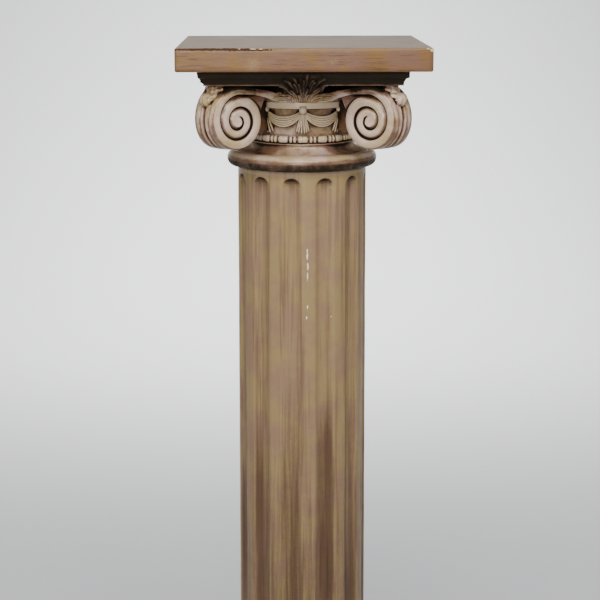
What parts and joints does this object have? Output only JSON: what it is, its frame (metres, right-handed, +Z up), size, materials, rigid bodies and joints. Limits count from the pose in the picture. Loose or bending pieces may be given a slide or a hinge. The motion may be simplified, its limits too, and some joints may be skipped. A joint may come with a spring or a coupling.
{
  "type": "ionic column",
  "caption": "Free-standing pedestal column with a square top plate, an ionic capital with corner volutes and hanging swags, a fluted shaft and a moulded square base.",
  "frame": {"origin": "centre of the plinth's underside, where the column stands", "axes": "+Z up along the shaft; -Y to the front and +X to the right, square with the top plate's sides"},
  "size_m": [0.305, 0.305, 1.016],
  "materials": {
    "top_plate": "ochre paint with a brown glaze, satin",
    "capital": "pinkish beige paint with a dark glaze in the carving, semi-gloss",
    "shaft": "tan paint brushed with a plum brown glaze, satin",
    "base": "tan paint with a brown glaze, satin"
  },
  "bodies": {
    "root": {"top_plate": "top_plate", "capital": "capital", "shaft": "shaft", "base": "base"}
  },
  "joints": []
}
